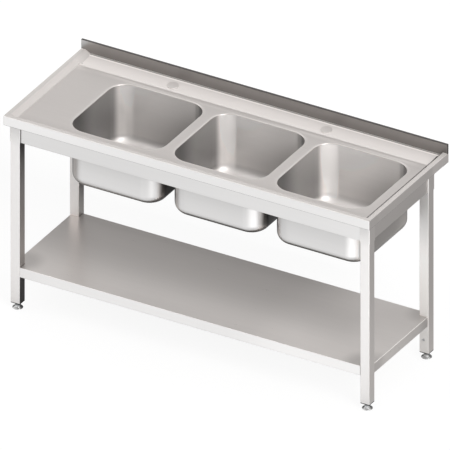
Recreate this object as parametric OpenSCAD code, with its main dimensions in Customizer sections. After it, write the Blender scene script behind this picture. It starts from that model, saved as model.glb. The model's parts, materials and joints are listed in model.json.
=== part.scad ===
// Three compartment sink unit: a folded stainless worktop with a drainboard on the
// left, three pressed bowls, a low upstand at the rear, a four-leg frame with a
// bottom shelf, and four levelling feet.
//
// Millimetres. The origin is on the floor under the middle of the plan.
// X runs left to right, Y runs front to rear, Z runs up.

/* [Worktop] */
// Length of the worktop, left to right
top_w = 1600; // [1560:10:2000]
// Depth of the worktop, front to rear
top_d = 600; // [600:10:650]
// Height of the raised rim above the floor
top_h = 850; // [800:10:950]
// Height of the down-turned edge on the front and sides
skirt_h = 40; // [36:1:60]
// Height of the rear upstand above the rim
splash_h = 40; // [30:5:100]
// Thickness of the folded upstand
splash_t = 10; // [8:1:20]
// Thickness of the worktop sheet
sheet_t = 1.2; // [1:0.1:1.5]
// Width of the flat rim on the front and sides
rim_w = 19.5; // [15:0.5:25]
// Depth of the sunken deck below the rim
recess_d = 18; // [12:1:20]
// Depth of the tilted tap ledge, measured forward from the upstand
ledge_d = 85; // [80:1:90]
// Rise of the tap ledge from its front edge to the upstand
ledge_rise = 7; // [4:0.5:8]
// Width of the return fold under the front and side edges
return_w = 12; // [8:1:12]
// Width of the return fold under the rear edge
return_rear_w = 42; // [20:1:42]

/* [Tap holes] */
// Diameter of each tap hole
tap_d = 35; // [28:1:38]
// Diameter of the cap of the plug that covers a tap hole
plug_d = 45; // [42:0.5:48]
// Distance of the tap hole centres from the rear edge
tap_rear = 58; // [55:1:65]

/* [Bowls] */
// Inside length and width of each bowl
bowl_size = 400; // [340:10:400]
// Inside depth of each bowl below the deck
bowl_depth = 250; // [200:10:300]
// Corner radius of a bowl in plan
bowl_r = 75; // [50:5:90]
// Radius between the bowl wall and its floor
bowl_fillet = 45; // [25:5:50]
// Spacing of the bowl centres
bowl_pitch = 447; // [430:1:470]
// Distance from the right end to the last bowl's wall
bowl_right = 77; // [77:1:90]
// Distance from the front edge to the bowl walls
bowl_front = 74; // [72:1:76]
// Radius of the rolled edge round each bowl opening
roll_r = 4; // [3:0.5:5]
// Thickness of the bowl sheet
bowl_t = 1.2; // [1:0.1:1.5]

/* [Waste fittings] */
// Diameter of the strainer hole in each bowl floor
waste_d = 90; // [88:1:92]
// Inside diameter of the strainer cup
cup_d = 80; // [76:1:80]
// Outside diameter of the waste pipe
pipe_d = 40; // [32:1:40]
// Free length of the waste pipe below its union nut
pipe_l = 24; // [20:1:60]

/* [Frame] */
// Width of the square leg tube
leg_w = 40; // [35:1:40]
// Wall of the leg tube
leg_t = 1.5; // [1:0.1:2]
// Distance from the worktop ends to the legs
leg_side = 16; // [16:1:60]
// Distance from the front edge to the front legs
leg_front = 28; // [28:1:32]
// Distance from the rear edge to the rear legs
leg_rear = 84; // [82:1:84]
// Wall of the leg sockets under the worktop
socket_t = 2; // [1.5:0.1:2]
// Height of the aprons and leg sockets
apron_h = 100; // [80:1:120]
// Setback of the aprons behind the socket faces
apron_set = 6.5; // [4:0.5:8]
// Width of the apron flanges
apron_flange = 24; // [15:1:24]
// Sheet thickness of the aprons
apron_t = 1.5; // [1:0.1:2]

/* [Bottom shelf] */
// Height of the shelf surface above the floor
shelf_h = 188; // [150:1:400]
// Height of the shelf's down-turned edges
shelf_edge = 42; // [30:1:50]
// Setback of the shelf ends from the outer leg faces
shelf_side = 4; // [0:1:8]
// Setback of the shelf's rear edge from the rear leg faces
shelf_rear = 10; // [0:1:12]

/* [Levelling feet] */
// Gap under the leg tube ends with the feet wound in
foot_gap = 26; // [22:1:40]
// Diameter of the foot pad
pad_d = 40; // [35:1:50]
// Thickness of the foot pad
pad_h = 8; // [6:1:10]
// Diameter of the collar on the foot stem
collar_d = 24; // [20:1:26]
// Diameter of the foot's threaded stem
stem_d = 10; // [8:1:12]

/* [Hidden] */
$fn = 48;

// Worktop
deck_z = top_h - recess_d;
deck_under_z = deck_z - sheet_t;
skirt_under_z = top_h - skirt_h;
splash_y = top_d / 2 - splash_t;       // front face of the upstand
ledge_y = splash_y - ledge_d;          // front edge of the tap ledge
ledge_tilt = atan(ledge_rise / ledge_d);

// Bowls
bowl_half = bowl_size / 2;
bowl_flange = roll_r + 6;              // bowl wall to the joint with the deck
bowl_x = [for (i = [0:2]) top_w / 2 - bowl_right - bowl_half - (2 - i) * bowl_pitch];
bowl_y = -top_d / 2 + bowl_front + bowl_half;
bowl_floor_z = deck_z - bowl_depth;
seat_depth = 3;                        // pressed seat round the strainer hole

// Tap holes
tap_x = [bowl_x[0], (bowl_x[1] + bowl_x[2]) / 2];
tap_y = top_d / 2 - tap_rear;
tap_z = deck_z + (tap_y - ledge_y) * tan(ledge_tilt);

// Frame
leg_x = top_w / 2 - leg_side - leg_w / 2;
leg_front_y = -top_d / 2 + leg_front + leg_w / 2;
leg_rear_y = top_d / 2 - leg_rear - leg_w / 2;
insert_flange = 3;                     // foot insert flange below the leg tube
leg_under_z = foot_gap + insert_flange;
socket_gap = 0.1;                      // each side of the leg
socket_bore = leg_w + 2 * socket_gap;
socket_w = socket_bore + 2 * socket_t;
apron_under_z = deck_under_z - apron_h;
shelf_gap = 0.5;                       // between the shelf and a leg face

// Screws
screw_r = 3;
tight_hole_r = screw_r + 0.04;
loose_hole_r = screw_r + 0.06;
socket_screw_zs = [apron_under_z + 22, apron_under_z + apron_h - 22];
lock_screw_z = 85;
shelf_screw_z = shelf_h - shelf_edge / 2;

// Colours
steel = [0.78, 0.78, 0.77];
bright = [0.86, 0.86, 0.85];
rubber = [0.15, 0.15, 0.15];
nylon = [0.2, 0.2, 0.21];

// ---- helpers ----

module rounded_square(w, r) {
  union() {
    square([w, w - 2 * r], center = true);
    square([w - 2 * r, w], center = true);
    for (i = [-1, 1], j = [-1, 1])
      translate([i * (w / 2 - r), j * (w / 2 - r)]) circle(r = r);
  }
}

// a profile drawn in Y-Z, run along X between x0 and x1
module along_x(x0, x1) {
  translate([x0, 0, 0]) rotate([90, 0, 90]) linear_extrude(height = x1 - x0) children();
}

// a profile drawn in X-Z, run along Y between y0 and y1
module along_y(y0, y1) {
  translate([0, y1, 0]) rotate([90, 0, 0]) linear_extrude(height = y1 - y0) children();
}

// copies about Z, one every step degrees
module around(step) {
  for (a = [0:step:359]) rotate([0, 0, a]) children();
}

module ring(outer_r, inner_r, z0, z1) {
  translate([0, 0, z0]) difference() {
    cylinder(r = outer_r, h = z1 - z0);
    translate([0, 0, -1]) cylinder(r = inner_r, h = z1 - z0 + 2);
  }
}

// hat-section stiffener, top at 0: two foot flanges, two webs and a crown below
hat_foot = 18;
hat_t = 1.5;

module hat(w, h) {
  difference() {
    union() {
      translate([-w / 2, -h]) square([w, h]);
      translate([-w / 2 - hat_foot, -hat_t]) square([w + 2 * hat_foot, hat_t]);
    }
    translate([-w / 2 + hat_t, -h + hat_t]) square([w - 2 * hat_t, h]);
  }
}

// ---- worktop ----

// The sunken deck with its sloped sides and tilted tap ledge. offset_t moves every
// surface outwards, so the sheet has the same thickness on slopes and flats.
module recess(offset_t) {
  slope_shift = offset_t * sqrt(2);    // the sides slope at 45 degrees
  front_y = -top_d / 2 + rim_w - slope_shift;
  left_x = -top_w / 2 + rim_w - slope_shift;
  above = 60;                          // overruns past the sheet
  below = 5;
  beyond = 90;
  foot_run = recess_d + offset_t;
  intersection() {
    along_x(-top_w / 2 - beyond, top_w / 2 + beyond)
      polygon([[front_y - above, top_h + above],
               [front_y + foot_run, deck_z - offset_t],
               [ledge_y + offset_t * tan(ledge_tilt / 2), deck_z - offset_t],
               [splash_y + offset_t, deck_z + ledge_rise + offset_t * tan(ledge_tilt)
                 - offset_t / cos(ledge_tilt)],
               [splash_y + offset_t, top_h + above]]);
    along_y(-top_d / 2 - beyond, top_d / 2 + beyond)
      polygon([[left_x - above, top_h + above],
               [left_x + foot_run + below, deck_z - offset_t - below],
               [-left_x - foot_run - below, deck_z - offset_t - below],
               [-left_x + above, top_h + above]]);
  }
}

// the outside of the worktop and upstand, moved inwards by inset
module worktop_block(inset) {
  translate([-top_w / 2 + inset, -top_d / 2 + inset, skirt_under_z + inset])
    cube([top_w - 2 * inset, top_d - 2 * inset, skirt_h - 2 * inset]);
  translate([-top_w / 2 + inset, splash_y + inset, skirt_under_z + inset])
    cube([top_w - 2 * inset, splash_t - 2 * inset, skirt_h + splash_h - 2 * inset]);
}

// square to the tilted ledge at a tap hole
module at_tap(i) {
  translate([tap_x[i], tap_y, tap_z]) rotate([ledge_tilt, 0, 0]) children();
}

module worktop() {
  color(steel) difference() {
    union() worktop_block(0);
    recess(0);
    // hollow between the skirts and under the deck
    difference() {
      union() worktop_block(sheet_t);
      recess(sheet_t);
    }
    // opening inside the return folds
    translate([-top_w / 2 + return_w, -top_d / 2 + return_w, skirt_under_z - 1])
      cube([top_w - 2 * return_w, top_d - return_w - return_rear_w, sheet_t + 2]);
    // bowl openings
    for (x = bowl_x) translate([x, bowl_y, deck_under_z - 3])
      linear_extrude(height = sheet_t + 6)
        rounded_square(bowl_size + 2 * bowl_flange, bowl_r + bowl_flange);
    // tap holes
    for (i = [0, 1]) at_tap(i) translate([0, 0, -6]) cylinder(d = tap_d, h = 12);
  }
}

module drainboard_stiffener() {
  x = (-top_w / 2 + bowl_x[0] - bowl_half) / 2 + 12;
  front_gap = 20;                      // from the leg faces
  rear_gap = 12;
  color(steel) translate([x, 0, 0])
    along_y(leg_front_y + leg_w / 2 + front_gap, leg_rear_y - leg_w / 2 - rear_gap)
      translate([0, deck_under_z]) hat(w = 60, h = 24);
}

// Push-in plug: a low chamfered cap on the ledge and a hollow spigot through the hole
module tap_hole_plug(i) {
  spigot_r = tap_d / 2 - 0.2;
  spigot_end = -12;
  cap_r = plug_d / 2;
  cap_h = 2.4;
  lift = 0.02;                         // keeps the cap clear of the ledge
  color(steel) at_tap(i) translate([0, 0, lift]) rotate_extrude()
    polygon([[0, 0.6], [spigot_r - 1.5, 0.6], [spigot_r - 1.5, spigot_end],
             [spigot_r - 0.6, spigot_end], [spigot_r, spigot_end + 0.6], [spigot_r, 0],
             [cap_r, 0], [cap_r, 1.6], [cap_r - 0.9, cap_h], [0, cap_h]]);
}

// ---- bowls ----

// half section of the sheet at a corner, measured from the corner's centre
module bowl_profile() {
  floor_r = bowl_r - bowl_fillet;
  joint_gap = 0.05;
  union() {
    // floor
    translate([0, bowl_floor_z - bowl_t]) square([floor_r, bowl_t]);
    // floor fillet
    intersection() {
      translate([floor_r, bowl_floor_z + bowl_fillet]) difference() {
        circle(r = bowl_fillet + bowl_t, $fn = 64);
        circle(r = bowl_fillet, $fn = 64);
      }
      translate([floor_r, bowl_floor_z - bowl_t - 1])
        square([bowl_fillet + bowl_t + 1, bowl_fillet + bowl_t + 1]);
    }
    // wall
    translate([bowl_r, bowl_floor_z + bowl_fillet])
      square([bowl_t, bowl_depth - bowl_fillet - roll_r]);
    // rolled edge
    intersection() {
      translate([bowl_r + roll_r, deck_z - roll_r]) difference() {
        circle(r = roll_r, $fn = 32);
        circle(r = roll_r - bowl_t, $fn = 32);
      }
      translate([bowl_r - 1, deck_z - roll_r]) square([roll_r + 1, roll_r + 1]);
    }
    // flange
    translate([bowl_r + roll_r, deck_z - bowl_t])
      square([bowl_flange - roll_r - joint_gap, bowl_t]);
  }
}

module bowl(i) {
  corner = bowl_half - bowl_r;         // centre of the corner radius
  seat_r = waste_d / 2 + 13;
  color(steel) translate([bowl_x[i], bowl_y, 0]) difference() {
    union() {
      around(90) {
        translate([corner, corner, 0]) rotate_extrude(angle = 90, $fn = 64) bowl_profile();
        translate([corner, 0, 0]) along_y(-corner, corner) bowl_profile();
      }
      translate([-corner, -corner, bowl_floor_z - bowl_t])
        cube([2 * corner, 2 * corner, bowl_t]);
      // pressed seat for the strainer flange
      translate([0, 0, bowl_floor_z - seat_depth - bowl_t])
        cylinder(r = seat_r + bowl_t, h = seat_depth + bowl_t);
    }
    translate([0, 0, bowl_floor_z - seat_depth]) cylinder(r = seat_r, h = 6);
    translate([0, 0, bowl_floor_z - 10]) cylinder(r = waste_d / 2, h = 20);
  }
}

// ---- waste fittings, one set per bowl, heights from the bowl floor ----

cup_r = cup_d / 2;
cup_outer_r = cup_r + 2.5;
cup_floor = -40;                       // inside of the cup
cup_under = -42;
outlet_r = 24;
outlet_bore_r = 21.5;
outlet_end = -66;
strainer_flange_under = -2;
drain_nut_top = -7.2;
drain_nut_under = -19.2;
coupling_top = -48;
coupling_under = -72.5;
tail_flange_top = -67.5;
tail_flange_under = -69.5;
tail_neck_end = -73;
pipe_r = pipe_d / 2;
basket_r = cup_r - 5;
basket_under = -36;
basket_rim_under = -12;
basket_t = 1;

// [radius, height] outlines
knob_outline = [[0, -35], [5, -35], [5, -33], [2.5, -31], [2.5, -10],
                [8, -8], [9, -6], [9, -4], [7, -2], [0, -2]];
stopper_outline = [[0, cup_floor], [29, cup_floor], [30, -39],
                   [28, basket_under], [0, basket_under]];

module at_waste(i) {
  translate([bowl_x[i], bowl_y, bowl_floor_z]) children();
}

module drain_body(i) {
  flange_r = waste_d / 2 + 11;
  color(bright) at_waste(i) rotate_extrude()
    polygon([[cup_r, 0], [flange_r, 0], [flange_r, strainer_flange_under],
             [cup_outer_r, strainer_flange_under], [cup_outer_r, cup_under],
             [outlet_r, cup_under], [outlet_r, outlet_end], [outlet_bore_r, outlet_end],
             [outlet_bore_r, cup_floor], [cup_r, cup_floor]]);
}

module drain_nut(i) {
  bore_r = cup_outer_r + 0.03;
  color(nylon) at_waste(i) union() {
    ring(bore_r + 9, bore_r, drain_nut_under, drain_nut_top);
    // grip lugs
    around(60) translate([bore_r + 6.5, -5, drain_nut_under + 1.5]) cube([6.5, 10, 9]);
  }
}

module coupling_nut(i) {
  bore_r = outlet_r + 0.03;
  pipe_hole_r = pipe_r + 0.3;
  nut_r = 30;
  color(nylon) at_waste(i) union() {
    rotate_extrude()
      polygon([[bore_r, coupling_top], [nut_r - 1, coupling_top], [nut_r, coupling_top - 2],
               [nut_r, coupling_under], [pipe_hole_r, coupling_under],
               [pipe_hole_r, tail_flange_under], [bore_r, tail_flange_under]]);
    // grip ribs
    around(45) translate([nut_r - 2, -2, -70]) cube([4, 4, 20]);
  }
}

module tailpiece(i) {
  flange_r = 23.8;
  bore_r = pipe_r - 1.5;
  neck_r = pipe_r - 0.3;
  pipe_end = tail_neck_end - pipe_l;
  color(bright) at_waste(i) rotate_extrude()
    polygon([[bore_r, tail_flange_top], [flange_r, tail_flange_top],
             [flange_r, tail_flange_under], [neck_r, tail_flange_under],
             [neck_r, tail_neck_end], [pipe_r, tail_neck_end],
             [pipe_r, pipe_end], [bore_r, pipe_end]]);
}

module basket_floor_hole(radius) {
  translate([radius, 0, basket_under - 1]) cylinder(r = 2.2, h = 3, $fn = 16);
}

module basket(i) {
  rim_r = basket_r + 3.5;
  rim_top = basket_rim_under + basket_t;
  floor_top = basket_under + basket_t;
  color(bright) at_waste(i) difference() {
    rotate_extrude()
      polygon([[0, basket_under], [basket_r, basket_under], [basket_r, basket_rim_under],
               [rim_r, basket_rim_under], [rim_r, rim_top], [basket_r - basket_t, rim_top],
               [basket_r - basket_t, floor_top], [0, floor_top]]);
    around(30) basket_floor_hole(basket_r - 10);
    around(45) basket_floor_hole(basket_r - 19);
    // wall holes, halfway between the outer floor holes
    around(30) rotate([0, 0, 15]) translate([basket_r - 3, 0, -24])
      rotate([0, 90, 0]) cylinder(r = 2.5, h = 6, $fn = 16);
  }
}

module basket_knob(i) {
  color(bright) at_waste(i) rotate_extrude() polygon(knob_outline);
}

module basket_stopper(i) {
  color(rubber) at_waste(i) rotate_extrude() polygon(stopper_outline);
}

// between the strainer flange and its seat
module drain_seals() {
  color(rubber) for (i = [0:2]) at_waste(i)
    ring(waste_d / 2 + 10.5, waste_d / 2 + 0.5, -seat_depth, strainer_flange_under);
}

// between the seat and the drain nut
module drain_washers() {
  color(rubber) for (i = [0:2]) at_waste(i)
    ring(waste_d / 2 + 12, cup_r + 2.8, drain_nut_top, -seat_depth - bowl_t);
}

// between the outlet and the tailpiece flange
module tailpiece_washers() {
  color(rubber) for (i = [0:2]) at_waste(i) ring(23.7, 21, tail_flange_top, outlet_end);
}

// ---- frame ----
// side is -1 for left and 1 for right; row is -1 for front and 1 for rear

function leg_y(row) = row < 0 ? leg_front_y : leg_rear_y;

module at_leg(side, row) {
  translate([side * leg_x, leg_y(row), 0]) children();
}

// channel section: web on the left of the drawing, flanges to the right
module apron_section() {
  difference() {
    square([apron_flange, apron_h]);
    translate([apron_t, apron_t]) square([apron_flange, apron_h - 2 * apron_t]);
  }
}

module apron_along_x() {
  end_x = leg_x - socket_w / 2;
  color(steel) along_x(-end_x, end_x) children();
}

module apron_along_y() {
  color(steel) along_y(leg_front_y + socket_w / 2, leg_rear_y - socket_w / 2) children();
}

module apron_front() {
  apron_along_x() translate([leg_front_y - socket_w / 2 + apron_set, apron_under_z])
    apron_section();
}

module apron_rear() {
  apron_along_x() translate([leg_rear_y + socket_w / 2 - apron_set, apron_under_z])
    mirror([1, 0]) apron_section();
}

module apron_left() {
  apron_along_y() translate([-leg_x - socket_w / 2 + apron_set, apron_under_z])
    apron_section();
}

module apron_right() {
  apron_along_y() translate([leg_x + socket_w / 2 - apron_set, apron_under_z])
    mirror([1, 0]) apron_section();
}

hole_start = leg_w / 2 + 5;            // from the leg's axis

// holes along Y through the leg face that looks at the other row
module row_holes(row, heights, r, depth = 12) {
  for (z = heights) translate([0, -row * hole_start, z])
    rotate([-row * 90, 0, 0]) cylinder(r = r, h = depth, $fn = 24);
}

// hole along X through the leg face that looks at the other side, for a shelf screw
module side_hole(side, r) {
  translate([-side * hole_start, 0, shelf_screw_z])
    rotate([0, side * 90, 0]) cylinder(r = r, h = 12, $fn = 24);
}

module socket(side, row) {
  color(steel) at_leg(side, row) difference() {
    translate([0, 0, apron_under_z]) linear_extrude(height = apron_h) difference() {
      rounded_square(socket_w, 3.5);
      rounded_square(socket_bore, 2.6);
    }
    row_holes(row, socket_screw_zs, loose_hole_r);
  }
}

module leg(side, row) {
  top_gap = 4;                         // below the deck
  color(steel) at_leg(side, row) difference() {
    translate([0, 0, leg_under_z])
      linear_extrude(height = deck_under_z - top_gap - leg_under_z) difference() {
        rounded_square(leg_w, 2.5);
        rounded_square(leg_w - 2 * leg_t, 1.5);
      }
    row_holes(row, concat(socket_screw_zs, [lock_screw_z, shelf_screw_z]), tight_hole_r);
    side_hole(side, tight_hole_r);
  }
}

// ---- bottom shelf ----

// plan of the shelf, notched round the legs, moved inwards by inset
module shelf_plan(inset) {
  end_x = leg_x + leg_w / 2 - shelf_side - inset;
  front_y = leg_front_y - leg_w / 2 + inset;
  rear_y = leg_rear_y + leg_w / 2 - shelf_rear - inset;
  overrun = 30;                        // notch past the shelf corner
  notch = 2 * (leg_w / 2 + shelf_gap + inset + overrun);
  difference() {
    translate([-end_x, front_y]) square([2 * end_x, rear_y - front_y]);
    for (side = [-1, 1], row = [-1, 1])
      translate([side * (leg_x + overrun), leg_y(row) + row * overrun])
        square([notch, notch], center = true);
  }
}

module shelf() {
  under_z = shelf_h - shelf_edge;
  fold_w = 12;                         // return fold under the edges
  color(steel) difference() {
    translate([0, 0, under_z]) linear_extrude(height = shelf_edge) shelf_plan(0);
    translate([0, 0, under_z + sheet_t])
      linear_extrude(height = shelf_edge - 2 * sheet_t) shelf_plan(sheet_t);
    translate([0, 0, under_z - 1]) linear_extrude(height = sheet_t + 2) shelf_plan(fold_w);
    for (side = [-1, 1], row = [-1, 1]) at_leg(side, row) {
      side_hole(side, loose_hole_r);
      row_holes(row, [shelf_screw_z], loose_hole_r);
    }
  }
}

module shelf_stiffener() {
  y = (leg_front_y + leg_rear_y) / 2 - shelf_rear / 2;
  end_x = leg_x - 60;
  color(steel) along_x(-end_x, end_x) translate([y, shelf_h - sheet_t]) hat(w = 70, h = 26);
}

// ---- levelling feet ----

spigot_r = 4;                          // end of the stem, held in the pad
spigot_depth = 4;

module foot_insert(side, row) {
  plug_w = leg_w - 2 * leg_t - 0.1;
  color(nylon) at_leg(side, row) difference() {
    union() {
      translate([0, 0, foot_gap])
        linear_extrude(height = insert_flange) rounded_square(leg_w, 2.5);
      translate([0, 0, leg_under_z]) linear_extrude(height = 68) rounded_square(plug_w, 1.6);
    }
    translate([0, 0, foot_gap - 1]) cylinder(r = stem_d / 2 + 0.03, h = 80);
    row_holes(row, [lock_screw_z], tight_hole_r, depth = 17);
  }
}

module foot_stem(side, row) {
  collar_r = collar_d / 2;
  collar_top = foot_gap - 2;
  stem_r = stem_d / 2;
  stem_top = foot_gap + 59;
  chamfer = 1;
  color(bright) at_leg(side, row) rotate_extrude()
    polygon([[0, pad_h - spigot_depth], [spigot_r, pad_h - spigot_depth], [spigot_r, pad_h],
             [collar_r - chamfer, pad_h], [collar_r, pad_h + chamfer],
             [collar_r, collar_top - chamfer], [collar_r - chamfer, collar_top],
             [stem_r, collar_top], [stem_r, stem_top - chamfer],
             [stem_r - chamfer, stem_top], [0, stem_top]]);
}

module foot_pad(side, row) {
  r = pad_d / 2;
  edge_r = 3;
  color(bright) at_leg(side, row) difference() {
    rotate_extrude() union() {
      translate([0, edge_r]) square([r, pad_h - 2 * edge_r]);
      square([r - edge_r, pad_h]);
      translate([r - edge_r, edge_r]) circle(r = edge_r, $fn = 32);
      translate([r - edge_r, pad_h - edge_r]) circle(r = edge_r, $fn = 32);
    }
    translate([0, 0, pad_h - spigot_depth]) cylinder(r = spigot_r + 0.04, h = 6);
  }
}

// ---- screws ----

// button-head screw pointing along -Z, underside of the head at z = 0
module screw(l) {
  difference() {
    union() {
      translate([0, 0, -l]) cylinder(r = screw_r, h = l, $fn = 24);
      cylinder(r = 5, h = 2.8, $fn = 32);
    }
    // hexagon socket
    translate([0, 0, 1.2]) cylinder(r = 2, h = 3, $fn = 6);
  }
}

// screw in a row hole, its head standing off the leg face
module row_screw(side, row, z, standoff, l) {
  at_leg(side, row) translate([0, -row * (leg_w / 2 + standoff), z])
    rotate([row * 90, 0, 0]) screw(l);
}

module socket_screws() {
  color(bright) for (side = [-1, 1], row = [-1, 1], z = socket_screw_zs)
    row_screw(side, row, z, socket_gap + socket_t, socket_t + 6);
}

module foot_lock_screws() {
  color(bright) for (side = [-1, 1], row = [-1, 1]) row_screw(side, row, lock_screw_z, 0, 10);
}

module shelf_screws() {
  standoff = shelf_gap + sheet_t;
  color(bright) for (side = [-1, 1], row = [-1, 1]) {
    row_screw(side, row, shelf_screw_z, standoff, 8);
    at_leg(side, row) translate([-side * (leg_w / 2 + standoff), 0, shelf_screw_z])
      rotate([0, -side * 90, 0]) screw(8);
  }
}

worktop();
drainboard_stiffener();
tap_hole_plug(0);  // tap_hole_plug_left
tap_hole_plug(1);  // tap_hole_plug_right
bowl(0);  // bowl_left
bowl(1);  // bowl_middle
bowl(2);  // bowl_right
apron_front();
apron_rear();
apron_left();
apron_right();
socket(-1, -1);  // socket_front_left
socket(1, -1);  // socket_front_right
socket(-1, 1);  // socket_rear_left
socket(1, 1);  // socket_rear_right
leg(-1, -1);  // leg_front_left
leg(1, -1);  // leg_front_right
leg(-1, 1);  // leg_rear_left
leg(1, 1);  // leg_rear_right
shelf();
shelf_stiffener();
foot_insert(-1, -1);  // foot_insert_front_left
foot_insert(1, -1);  // foot_insert_front_right
foot_insert(-1, 1);  // foot_insert_rear_left
foot_insert(1, 1);  // foot_insert_rear_right
foot_stem(-1, -1);  // foot_stem_front_left
foot_stem(1, -1);  // foot_stem_front_right
foot_stem(-1, 1);  // foot_stem_rear_left
foot_stem(1, 1);  // foot_stem_rear_right
foot_pad(-1, -1);  // foot_pad_front_left
foot_pad(1, -1);  // foot_pad_front_right
foot_pad(-1, 1);  // foot_pad_rear_left
foot_pad(1, 1);  // foot_pad_rear_right
drain_body(0);  // drain_body_left
drain_body(1);  // drain_body_middle
drain_body(2);  // drain_body_right
drain_nut(0);  // drain_nut_left
drain_nut(1);  // drain_nut_middle
drain_nut(2);  // drain_nut_right
coupling_nut(0);  // coupling_nut_left
coupling_nut(1);  // coupling_nut_middle
coupling_nut(2);  // coupling_nut_right
tailpiece(0);  // tailpiece_left
tailpiece(1);  // tailpiece_middle
tailpiece(2);  // tailpiece_right
basket(0);  // basket_left
basket(1);  // basket_middle
basket(2);  // basket_right
basket_knob(0);  // basket_knob_left
basket_knob(1);  // basket_knob_middle
basket_knob(2);  // basket_knob_right
basket_stopper(0);  // basket_stopper_left
basket_stopper(1);  // basket_stopper_middle
basket_stopper(2);  // basket_stopper_right
drain_seals();
drain_washers();
tailpiece_washers();
socket_screws();
foot_lock_screws();
shelf_screws();
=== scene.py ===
import json
import math

import bmesh
import bpy
import numpy as np
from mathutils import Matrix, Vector, geometry


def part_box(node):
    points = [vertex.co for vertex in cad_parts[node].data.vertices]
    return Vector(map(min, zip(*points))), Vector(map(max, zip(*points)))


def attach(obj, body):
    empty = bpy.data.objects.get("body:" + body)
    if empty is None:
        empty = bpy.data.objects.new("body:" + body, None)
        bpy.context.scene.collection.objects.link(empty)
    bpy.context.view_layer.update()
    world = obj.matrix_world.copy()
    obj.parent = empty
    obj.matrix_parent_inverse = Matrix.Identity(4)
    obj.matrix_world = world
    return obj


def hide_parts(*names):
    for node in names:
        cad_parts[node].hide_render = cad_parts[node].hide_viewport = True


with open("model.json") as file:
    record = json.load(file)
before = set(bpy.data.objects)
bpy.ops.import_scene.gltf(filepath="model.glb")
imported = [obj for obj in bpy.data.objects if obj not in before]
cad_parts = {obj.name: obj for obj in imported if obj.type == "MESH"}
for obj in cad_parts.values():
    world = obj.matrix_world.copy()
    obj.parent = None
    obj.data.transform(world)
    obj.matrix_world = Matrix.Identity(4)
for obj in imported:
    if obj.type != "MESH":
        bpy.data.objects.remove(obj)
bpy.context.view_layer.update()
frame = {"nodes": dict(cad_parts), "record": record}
nodes = frame["nodes"]
MM = 0.001


def box_mm(node):
    """x0, y0, z0, x1, y1, z1 of a CAD piece."""
    low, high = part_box(node)
    return [value / MM for value in (*low, *high)]


def middle(node):
    """Plan centre of a CAD piece."""
    low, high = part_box(node)
    return (low.x + high.x) / 2 / MM, (low.y + high.y) / 2 / MM


# ---------------------------------------------------------------- sizes, mm
LEFT, FRONT, BASE, RIGHT, REAR, TOP = box_mm("worktop")
SHEET = 1.2                             # sheet thickness
RIM_TOP = BASE + 40.0
RIM_WIDTH = 19.5
DECK_DROP = 18.0
DECK = RIM_TOP - DECK_DROP
HEM_RADIUS = 1.8                        # bottom edge of the worktop

UPSTAND_FRONT = REAR - 10.0
UPSTAND_FILLET = 1.2                    # at the foot of the upstand
LEDGE_DEPTH = 85.0                      # tilted strip in front of the upstand
LEDGE_RISE = 7.0
LEDGE_FRONT = UPSTAND_FRONT - LEDGE_DEPTH
LEDGE_SLOPE = LEDGE_RISE / LEDGE_DEPTH

BOWL_NAMES = ("bowl_left", "bowl_middle", "bowl_right")
BOWLS = [middle(name) for name in BOWL_NAMES]
BOWL_FLOOR = DECK - 250.0
BOWL_HALF = 200.0
BOWL_CORNER = 75.0
BOWL_FILLET = 41.0                      # between wall and floor
BOWL_ROLL = 4.0                         # rolled top edge
BOWL_FLANGE = 10.0

TAP_Y = REAR - 58.0
TAP_HOLES = [(BOWLS[0][0], TAP_Y), ((BOWLS[1][0] + BOWLS[2][0]) / 2, TAP_Y)]
TAP_RADIUS = 17.5

CORNERS = ("front_left", "front_right", "rear_left", "rear_right")
LEG_WIDTH = 40.0
LEG_X, LEG_FRONT_Y = middle("leg_front_right")
LEG_REAR_Y = middle("leg_rear_right")[1]


# ---------------------------------------------------------------- outlines
def sin_cos(degrees):
    return [(math.sin(math.radians(a)), math.cos(math.radians(a))) for a in degrees]


def arc(cx, cy, radius, start, end, steps):
    """Points on an arc, angles in degrees."""
    turns = sin_cos(start + (end - start) * i / steps for i in range(steps + 1))
    return [(cx + radius * c, cy + radius * s) for s, c in turns]


def circle(radius, count):
    turns = [2 * math.pi * k / count for k in range(count)]
    return [(radius * math.cos(a), radius * math.sin(a)) for a in turns]


def rounded_square(half, radius, corner_steps, side_steps):
    """Counter-clockwise rounded square about the origin."""
    c = half - radius
    signs = [(1, 1), (-1, 1), (-1, -1), (1, -1)]
    corners = [
        arc(sx * c, sy * c, radius, 90.0 * k, 90.0 * k + 90, corner_steps)
        for k, (sx, sy) in enumerate(signs)
    ]
    points = []
    for k, corner in enumerate(corners):
        points += corner
        start, end = corner[-1], corners[(k + 1) % 4][0]
        for i in range(1, side_steps):
            t = i / side_steps
            points.append(tuple(a * (1 - t) + b * t for a, b in zip(start, end)))
    return points


def moved(outline, centre):
    return [(centre[0] + x, centre[1] + y) for x, y in outline]


def at_height(outline, z):
    return [(x, y, z) for x, y in outline]


def inset(outline, distance):
    """Moves a right-angled, counter-clockwise outline inwards."""
    result = []
    for i, point in enumerate(outline):
        here = Vector(point)
        before = (here - Vector(outline[i - 1])).normalized()
        after = (Vector(outline[(i + 1) % len(outline)]) - here).normalized()
        normals = Vector((-before.y, before.x)) + Vector((-after.y, after.x))
        result.append(tuple(here + normals * distance))
    return result


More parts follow.
